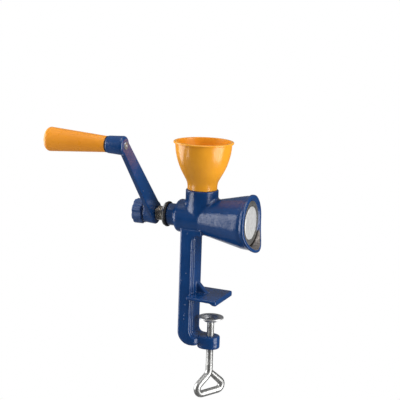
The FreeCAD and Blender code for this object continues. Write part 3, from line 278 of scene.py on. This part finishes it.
def turned_metal(name, dark, light, gloss, ring=0.0004, depth=0.00001, axis=SHAFT_AXIS):
    """Metal with fine lathe rings around a point's X axis; gloss is its least and its most roughness."""
    finish, tree, shader, place = new_finish(name, Metallic=1.0)
    centred = tree.nodes.new("ShaderNodeMapping")
    centred.inputs["Location"].default_value = (0, -axis[1], -axis[2])
    tree.links.new(place, centred.inputs["Vector"])
    rings = tree.nodes.new("ShaderNodeTexWave")
    rings.wave_type = "RINGS"
    rings.rings_direction = "X"
    rings.inputs["Scale"].default_value = WAVE_SPACING / ring
    rings.inputs["Distortion"].default_value = 1.5
    rings.inputs["Detail"].default_value = 2
    rings.inputs["Detail Scale"].default_value = 3
    tree.links.new(centred.outputs["Vector"], rings.inputs["Vector"])
    tree.links.new(mix_colours(tree, vary(tree, place, 0.006, 4), dark, light), shader.inputs["Base Color"])
    tree.links.new(vary(tree, place, 0.0025, 3, *gloss), shader.inputs["Roughness"])
    tree.links.new(relief(tree, rings.outputs["Fac"], depth), shader.inputs["Normal"])
    return finish


def dress(node, finish):
    """Give a solid's own object its finish."""
    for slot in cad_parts[node].material_slots:
        slot.material = finish


dress("bearing_bush", turned_metal(
    "bush_bronze", dark=(0.42, 0.27, 0.11, 1), light=(0.60, 0.42, 0.19, 1), gloss=(0.28, 0.42)
))


# Grinding ring: the half of the mill that stands still, around the cone in the mouth.
# Chilled iron, cast with its grooves and ground on the land. A steel dowel keeps it from turning.

dress("grinding_ring", turned_metal(
    "ring_iron", dark=(0.30, 0.30, 0.29, 1), light=(0.52, 0.51, 0.49, 1), gloss=(0.34, 0.50),
    ring=0.0008, depth=0.00003
))
dress("ring_dowel", turned_metal(
    "dowel_steel", dark=(0.40, 0.40, 0.40, 1), light=(0.55, 0.55, 0.55, 1), gloss=(0.22, 0.35)
))


# Washers behind the neck: a thick rubber one, moulded with a rounded rim, and a turned steel one against it.
# Both slip over the shaft, and the adjusting spring bears on the steel one.

def mottled(name, dark, light, patch, gloss, gloss_patch, pit, pit_depth, pit_detail=3, **plain):
    """Colour, roughness and pits that vary over the surface, in patches of the given sizes."""
    finish, tree, shader, place = new_finish(name, **plain)
    tree.links.new(mix_colours(tree, vary(tree, place, patch, 4), dark, light), shader.inputs["Base Color"])
    tree.links.new(vary(tree, place, gloss_patch, 3, *gloss), shader.inputs["Roughness"])
    tree.links.new(relief(tree, grain(tree, place, pit, pit_detail), pit_depth), shader.inputs["Normal"])
    return finish


def rubber(name):
    """Black moulded rubber with a dull bloom."""
    return mottled(
        name, dark=(0.006, 0.006, 0.008, 1), light=(0.018, 0.018, 0.021, 1), patch=0.004,
        gloss=(0.38, 0.60), gloss_patch=0.002, pit=0.0005, pit_depth=0.00004, Specular_IOR_Level=0.45
    )


washer_steel = turned_metal(
    "washer_steel", dark=(0.38, 0.38, 0.38, 1), light=(0.62, 0.62, 0.61, 1), gloss=(0.20, 0.38),
    ring=0.0006, depth=0.00002
)
dress("seal_washer", rubber("washer_rubber"))
dress("thrust_washer", washer_steel)


# Main shaft: bright drawn steel, turned, with a milled square for the crank and a thread for the knob.
# Steel cross pins lock the worm and the cone to it.

shaft_steel = turned_metal(
    "shaft_steel", dark=(0.36, 0.36, 0.36, 1), light=(0.56, 0.56, 0.55, 1), gloss=(0.18, 0.34), ring=0.0005
)
for node in ("main_shaft", "worm_pin", "cone_pin"):
    dress(node, shaft_steel)


# Feed worm: carries the nuts from the throat to the cone.
# Sleeve and flight cast in one piece of iron, and tinned against rust.

dress("feed_worm", mottled(
    "worm_tin", dark=(0.27, 0.26, 0.25, 1), light=(0.50, 0.49, 0.47, 1), patch=0.008,
    gloss=(0.30, 0.52), gloss_patch=0.003, pit=0.0012, pit_depth=0.00015, Metallic=1.0
))


# Grinding cone: the half of the mill that turns, pinned to the shaft in front of the worm.
# Hardened iron, its front face turned and polished bright.

dress("grinding_cone", turned_metal(
    "cone_polish", dark=(0.80, 0.80, 0.79, 1), light=(0.94, 0.94, 0.93, 1), gloss=(0.50, 0.66),
    ring=0.0012, depth=0.00003
))


# Adjusting spring: round drawn wire, oil blackened, wound with open coils and not ground.
# Its front end stands on the washer. Its rear end follows the crank's hub as the knob is screwed in or out.

spring_wire = mottled(
    "spring_wire", dark=(0.16, 0.15, 0.13, 1), light=(0.46, 0.43, 0.38, 1), patch=0.002,
    gloss=(0.22, 0.42), gloss_patch=0.0012, pit=0.0004, pit_depth=0.00002, pit_detail=2, Metallic=1.0
)
spring = placed("spring", merged_copy("adjusting_spring"))
spring.data.materials.clear()
spring.data.materials.append(spring_wire)
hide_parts("adjusting_spring")
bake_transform(spring)


# Crank: arm, hub and spindle boss in one iron casting, on the square of the shaft.
# Sand cast and enamelled like the body.

CRANK_RADIUS = 0.145
CRANK_LEAN = math.radians(45.4)

crank = sand_cast("crank_arm", "crank", enamel_only("crank_enamel"), cell=0.00045, rounds=2, share=0.40)
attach(crank, "crank")
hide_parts("crank_arm")


# Spindle of the grip: turned steel, its end riveted over and dimpled at the crank's face.
# A rubber washer lies against the boss and a steel one under its head.

SPINDLE_AXIS = (0, -CRANK_RADIUS * math.sin(CRANK_LEAN), SHAFT_HEIGHT + CRANK_RADIUS * math.cos(CRANK_LEAN))

spindle_steel = turned_metal(
    "spindle_steel", dark=(0.26, 0.27, 0.29, 1), light=(0.44, 0.45, 0.47, 1), gloss=(0.42, 0.58),
    axis=SPINDLE_AXIS, ring=0.0005, depth=0.00002
)
dress("handle_spindle", spindle_steel)
dress("spindle_head_washer", spindle_steel)
dress("spindle_washer", rubber("spindle_rubber"))


# Grip and its end plug: injection moulded in orange plastic.
# The grip turns freely on the spindle, and the plug closes its bore over the spindle's head.

GRIP_ORANGE = (0.85, 0.300, 0.015, 1)
GRIP_YELLOW = (0.91, 0.341, 0.019, 1)


def moulded(name, deep, light, gloss, depth):
    """Glossy moulded plastic with faint flow clouds and the fine waves of a polished tool."""
    finish, tree, shader, place = new_finish(name)
    tree.links.new(mix_colours(tree, vary(tree, place, 0.025, 3), deep, light), shader.inputs["Base Color"])
    tree.links.new(vary(tree, place, 0.006, 4, *gloss), shader.inputs["Roughness"])
    waves = relief(tree, grain(tree, place, 0.006, 1), depth)
    tree.links.new(relief(tree, grain(tree, place, 0.0008, 2), depth / 8, waves), shader.inputs["Normal"])
    return finish


grip_plastic = moulded("grip_plastic", GRIP_ORANGE, GRIP_YELLOW, gloss=(0.26, 0.34), depth=0.00008)
dress("grip", grip_plastic)
dress("grip_cap", grip_plastic)


# Star knob: cast knob with lobes for the fingers, enamelled, on the shaft's threaded end.
# A steel nut is cast into it, and a steel washer lies between it and the crank's hub.

knob_enamel = enamel_only("knob_enamel", smooth=0.34, dull=0.44, specular=0.9)
star = sand_cast("star_knob", "star", knob_enamel, cell=0.0003, rounds=3, share=0.5)
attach(star, "knob")
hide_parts("star_knob")
dress("knob_insert", shaft_steel)
dress("knob_washer", washer_steel)


# Hopper: round cup with a rolled lip, injection moulded in orange plastic.
# Its spigot stands loose in the socket of the casting.

HOPPER_ORANGE = (0.90, 0.360, 0.020, 1)
HOPPER_YELLOW = (0.96, 0.402, 0.024, 1)

dress("hopper", moulded("hopper_plastic", HOPPER_ORANGE, HOPPER_YELLOW, gloss=(0.18, 0.26), depth=0.00006))


# Clamp pad: disc pressed from steel sheet, with a flat rim and a dished middle.
# The peened tip of the screw holds it loosely and burnishes its dish.

dress("clamp_pad", mottled(
    "pad_steel", dark=(0.56, 0.56, 0.57, 1), light=(0.74, 0.74, 0.74, 1), patch=0.005,
    gloss=(0.40, 0.52), gloss_patch=0.002, pit=0.0009, pit_depth=0.00003, Metallic=1.0
))


# Clamp screw: steel rod with a rolled thread, its tip peened over the pad.
# Its lower end is bent cold into a loop and welded shut, and all of it is bright zinc plated.

SCREW_X = -0.0153
ROD_RADIUS = 0.00475
SHOULDER = -0.0296
THREAD_PITCH, THREAD_DEPTH = 0.0015, 0.00045
THREAD_END = -0.0900
# The groove's flat floor and its lips, and the thread's run-out at both ends, in pitches
GROOVE_FLOOR, GROOVE_LIP = 0.07, 0.42
RUNOUT_START, RUNOUT_END = 0.5, 2.5
# How far crests, bar and the rod's upper end stay inside the solid
CREST_INSET, BAR_INSET, TOP_INSET = 0.00005, 0.00002, 0.0001
# The bar is thinner where it is welded, from this share of its length on
WELD_START, WELD_SHARE = 0.936, 0.842
BEND_STEPS, BAR_SIDES = 12, 32
LOOP_PLANE = math.radians(60)
# Across the loop's plane, height and bend of each corner
LOOP_CORNERS = (
    (0, -0.0885, 0),
    (0, -0.1004, 0.011),
    (-0.0350, -0.1279, 0.0078),
    (0.0320, -0.1252, 0.0068),
    (0.00226, -0.09914, 0),
)


def step(tree, kind, output, **inputs):
    """One node; inputs are its sockets by name."""
    node = tree.nodes.new(kind)
    for name, value in inputs.items():
        feed(tree, node.inputs[name.replace("_", " ")], value)
    return node.outputs[output]


def threaded_rod(tree, given, sides=BAR_SIDES, rows=380):
    """A sheet rolled into a closed rod whose radius falls into the thread's helical groove."""
    sheet = step(
        tree, "GeometryNodeMeshGrid", "Mesh", Size_X=1.0, Size_Y=1.0, Vertices_X=sides + 1, Vertices_Y=rows
    )
    split = tree.nodes.new("ShaderNodeSeparateXYZ")
    tree.links.new(step(tree, "GeometryNodeInputPosition", "Position"), split.inputs["Vector"])
    turns = maths(tree, "ADD", split.outputs["X"], 0.5)
    # The outermost rows shrink to the axis and close the ends
    last_full_row = 0.5 - 1 / (rows - 1)
    height = spread(tree, split.outputs["Y"], -last_full_row, last_full_row, given["Bottom"], given["Top"])
    full = maths(tree, "LESS_THAN", maths(tree, "ABSOLUTE", split.outputs["Y"]), 0.4999)

    phase = maths(tree, "SUBTRACT", maths(tree, "DIVIDE", height, given["Pitch"]), turns)
    groove = spread(tree, maths(tree, "PINGPONG", phase, 0.5), GROOVE_FLOOR, GROOVE_LIP, 1, 0)
    from_top = maths(tree, "DIVIDE", maths(tree, "SUBTRACT", given["Top"], height), given["Pitch"])
    from_bottom = maths(tree, "DIVIDE", maths(tree, "SUBTRACT", height, given["Bottom"]), given["Pitch"])
    runout = spread(tree, maths(tree, "MINIMUM", from_top, from_bottom), RUNOUT_START, RUNOUT_END, 0, 1)
    cut = maths(tree, "MULTIPLY", maths(tree, "MULTIPLY", groove, given["Depth"]), runout)
    radius = maths(tree, "MULTIPLY", maths(tree, "SUBTRACT", given["Radius"], cut), full)

    angle = maths(tree, "MULTIPLY", turns, 2 * math.pi)
    across = maths(tree, "MULTIPLY_ADD", maths(tree, "COSINE", angle), radius, given["Axis"])
    along = maths(tree, "MULTIPLY", maths(tree, "SINE", angle), radius)
    place = step(tree, "ShaderNodeCombineXYZ", "Vector", X=across, Y=along, Z=height)
    rolled = step(tree, "GeometryNodeSetPosition", "Geometry", Geometry=sheet, Position=place)
    return step(tree, "GeometryNodeMergeByDistance", "Geometry", Geometry=rolled, Distance=1e-6)


def bent_handle(tree, given):
    """Round bar along the given line, each corner bent to its own radius, forged thinner at the weld."""
    line = step(tree, "GeometryNodeMeshToCurve", "Curve", Mesh=given["Geometry"])
    bend = step(tree, "GeometryNodeInputNamedAttribute", "Attribute", Name="bend")
    rounded = tree.nodes.new("GeometryNodeFilletCurve")
    rounded.mode = "POLY"
    for name, value in (("Curve", line), ("Count", BEND_STEPS), ("Radius", bend)):
        feed(tree, rounded.inputs[name], value)
    share = step(tree, "GeometryNodeSplineParameter", "Factor")
    thick = spread(tree, share, given["Weld Start"], 1.0, 1.0, given["Weld Share"])
    ring = step(tree, "GeometryNodeCurvePrimitiveCircle", "Curve", Resolution=BAR_SIDES, Radius=given["Bar"])
    return step(
        tree, "GeometryNodeCurveToMesh", "Mesh",
        Curve=rounded.outputs["Curve"], Profile_Curve=ring, Scale=thick, Fill_Caps=True
    )


def screw_tree(finish, sizes):
    """Rod and handle as one tree; sizes become its named inputs."""
    tree = bpy.data.node_groups.new("clamp_screw_tree", "GeometryNodeTree")
    tree.interface.new_socket("Geometry", in_out="INPUT", socket_type="NodeSocketGeometry")
    tree.interface.new_socket("Geometry", in_out="OUTPUT", socket_type="NodeSocketGeometry")
    sockets = {}
    for name in sizes:
        socket = tree.interface.new_socket(name, in_out="INPUT", socket_type="NodeSocketFloat")
        sockets[name] = socket.identifier
    given = tree.nodes.new("NodeGroupInput").outputs
    both = tree.nodes.new("GeometryNodeJoinGeometry")
    tree.links.new(threaded_rod(tree, given), both.inputs["Geometry"])
    tree.links.new(bent_handle(tree, given), both.inputs["Geometry"])
    smooth = step(tree, "GeometryNodeSetShadeSmooth", "Geometry", Geometry=both.outputs["Geometry"])
    real = step(tree, "GeometryNodeRealizeInstances", "Geometry", Geometry=smooth)
    dressed = step(tree, "GeometryNodeSetMaterial", "Geometry", Geometry=real, Material=finish)
    tree.links.new(dressed, tree.nodes.new("NodeGroupOutput").inputs["Geometry"])
    return tree, sockets


def handle_line():
    """The handle's middle line as a mesh of edges, with the bend of each corner."""
    line = bpy.data.meshes.new("screw_line")
    outward, sideways = math.cos(LOOP_PLANE), math.sin(LOOP_PLANE)
    corners = [(SCREW_X + across * outward, across * sideways, up) for across, up, _ in LOOP_CORNERS]
    line.from_pydata(corners, [(n, n + 1) for n in range(len(corners) - 1)], [])
    bends = line.attributes.new("bend", "FLOAT", "POINT")
    bends.data.foreach_set("value", [bend for _, _, bend in LOOP_CORNERS])
    return line


def clamp_screw(finish):
    """Rod, thread and handle from the tree, and the solid's own peened tip above the shoulder."""
    sizes = {
        "Radius": ROD_RADIUS - CREST_INSET, "Bar": ROD_RADIUS - BAR_INSET, "Axis": SCREW_X,
        "Pitch": THREAD_PITCH, "Depth": THREAD_DEPTH, "Top": SHOULDER - TOP_INSET, "Bottom": THREAD_END,
        "Weld Start": WELD_START, "Weld Share": WELD_SHARE,
    }
    blank = placed("screw_blank", handle_line())
    maker = blank.modifiers.new("screw", "NODES")
    maker.node_group, sockets = screw_tree(finish, sizes)
    for name, value in sizes.items():
        maker[sockets[name]] = value
    whole = plain_mesh(blank, "screw", finish)

    work = bmesh.new()
    work.from_mesh(merged_copy("clamp_screw"))
    below = [v for v in work.verts if v.co.z < SHOULDER - 1e-5]
    bmesh.ops.delete(work, geom=below, context="VERTS")
    bmesh.ops.holes_fill(work, edges=work.edges, sides=0)
    bmesh.ops.recalc_face_normals(work, faces=work.faces)
    work.from_mesh(whole.data)
    for face in work.faces:
        face.smooth = True
        face.material_index = 0
    work.to_mesh(whole.data)
    work.free()
    return whole


screw_zinc = mottled(
    "screw_zinc", dark=(0.42, 0.42, 0.41, 1), light=(0.52, 0.52, 0.51, 1), patch=0.008,
    gloss=(0.32, 0.40), gloss_patch=0.003, pit=0.0015, pit_depth=0.00001,
    Metallic=1.0, Specular_Tint=(0.55, 0.55, 0.56, 1)
)
screw = clamp_screw(screw_zinc)
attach(screw, "screw")
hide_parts("clamp_screw")


# Studio: a pale floor well below the mill, white behind it and dim on the side of the camera, so that the
# enamel and the bare metal have something dark to mirror, and three soft lamps.

FLOOR_HEIGHT, FLOOR_REACH = -0.45, 60.0
FRONT_FLOOR = (0.18, 0.18, 0.18, 1)
BACK_FLOOR = (0.78, 0.78, 0.78, 1)
# The level direction behind the mill, and how near to it the white begins and is full, as cosines
BEHIND = (-0.364, 0.931, 0)
WHITE_BEGINS, WHITE_FULL = 0.93, 0.985
# Brightness of the sky on the dim side and overhead, and the rise between them, as sines
DIM_SIDE, OVERHEAD = 0.17, 0.40
SKY_RISE = (0.3, 0.8)
# The white behind the mill fades out above the horizon at this rise
WHITE_TOP = 0.12
LAMP_AIM = Vector((-0.02, 0, 0.10))
CAMERA_PLACE = (0.5498, -1.5002, 0.4465)
CAMERA_AIM = Vector((-0.03601, 0, 0.13051))
CAMERA_ROLL = math.radians(1.88)


def vectors(tree, operation, output, *values):
    """One step of vector arithmetic; each value is a vector or an output."""
    node = tree.nodes.new("ShaderNodeVectorMath")
    node.operation = operation
    for socket, value in zip(node.inputs, values):
        feed(tree, socket, value)
    return node.outputs[output]


def behind(tree, place):
    """1 straight behind the mill, falling to 0 at either side of the backdrop."""
    level = vectors(tree, "MULTIPLY", "Vector", place, (1, 1, 0))
    way = vectors(tree, "NORMALIZE", "Vector", level)
    nearness = vectors(tree, "DOT_PRODUCT", "Value", way, BEHIND)
    return spread(tree, nearness, WHITE_BEGINS, WHITE_FULL, 0, 1)


def white_share(tree, far):
    """1 where the white background shows: to the eye, and behind the mill in metal too."""
    rays = tree.nodes.new("ShaderNodeLightPath")
    mirrored = maths(tree, "MAXIMUM", rays.outputs["Is Glossy Ray"], rays.outputs["Is Transmission Ray"])
    return maths(tree, "MAXIMUM", rays.outputs["Is Camera Ray"], maths(tree, "MULTIPLY", mirrored, far))


def pale_floor():
    """Matt floor, darker in front, and plain white to the camera."""
    finish, tree, shader, place = new_finish("pale_floor", Roughness=0.9)
    far = behind(tree, place)
    tree.links.new(mix_colours(tree, far, FRONT_FLOOR, BACK_FLOOR), shader.inputs["Base Color"])
    glow = tree.nodes.new("ShaderNodeEmission")
    mixer = tree.nodes.new("ShaderNodeMixShader")
    tree.links.new(white_share(tree, far), mixer.inputs["Fac"])
    tree.links.new(shader.outputs["BSDF"], mixer.inputs[1])
    tree.links.new(glow.outputs["Emission"], mixer.inputs[2])
    tree.links.new(mixer.outputs["Shader"], tree.nodes["Material Output"].inputs["Surface"])
    return finish


floor_mesh = bpy.data.meshes.new("floor")
corners = [(x * FLOOR_REACH, y * FLOOR_REACH, FLOOR_HEIGHT) for x, y in ((-1, -1), (1, -1), (1, 1), (-1, 1))]
floor_mesh.from_pydata(corners, [], [(0, 1, 2, 3)])
floor_mesh.materials.append(pale_floor())
floor = placed("floor", floor_mesh)


def softbox(name, direction, rise, distance, width, height, watts):
    """A soft lamp at a compass direction and height above the horizon, in degrees, aimed at the barrel."""
    across, up = math.radians(direction), math.radians(rise)
    outward = Vector((math.cos(across) * math.cos(up), math.sin(across) * math.cos(up), math.sin(up)))
    lamp = bpy.data.lights.new(name, "AREA")
    lamp.shape = "RECTANGLE"
    lamp.size = width
    lamp.size_y = height
    lamp.energy = watts
    holder = placed(name, lamp)
    holder.location = LAMP_AIM + outward * distance
    holder.rotation_euler = (-outward).to_track_quat("-Z", "Y").to_euler()
    holder.visible_camera = False


softbox("left_lamp", direction=-161, rise=4, distance=1.0, width=1.10, height=1.05, watts=16.0)
softbox("right_lamp", direction=-5, rise=0, distance=1.0, width=0.78, height=1.20, watts=15.0)
softbox("top_lamp", direction=-90, rise=80, distance=1.1, width=0.8, height=0.8, watts=5.5)

world = bpy.data.worlds.new("studio")
bpy.context.scene.world = world
world.use_nodes = True
sky = world.node_tree
way = sky.nodes.new("ShaderNodeTexCoord").outputs["Generated"]
parts = sky.nodes.new("ShaderNodeSeparateXYZ")
sky.links.new(way, parts.inputs["Vector"])
rise = parts.outputs["Z"]
dim = spread(sky, rise, *SKY_RISE, DIM_SIDE, OVERHEAD)
backdrop = maths(sky, "MULTIPLY", behind(sky, way), spread(sky, rise, 0.0, WHITE_TOP, 1, 0))
tone = maths(sky, "MULTIPLY_ADD", white_share(sky, backdrop), maths(sky, "SUBTRACT", 1.0, dim), dim)
sky.links.new(tone, sky.nodes["Background"].inputs["Color"])

camera_data = bpy.data.cameras.new("camera")
camera_data.lens = 114.33
camera_data.sensor_width = 36
camera = placed("camera", camera_data)
camera.location = CAMERA_PLACE
sight = CAMERA_AIM - camera.location
camera.rotation_mode = "QUATERNION"
camera.rotation_quaternion = sight.to_track_quat("-Z", "Y") @ Quaternion((0, 0, 1), CAMERA_ROLL)
bpy.context.scene.camera = camera
bpy.context.scene.view_settings.view_transform = "Standard"
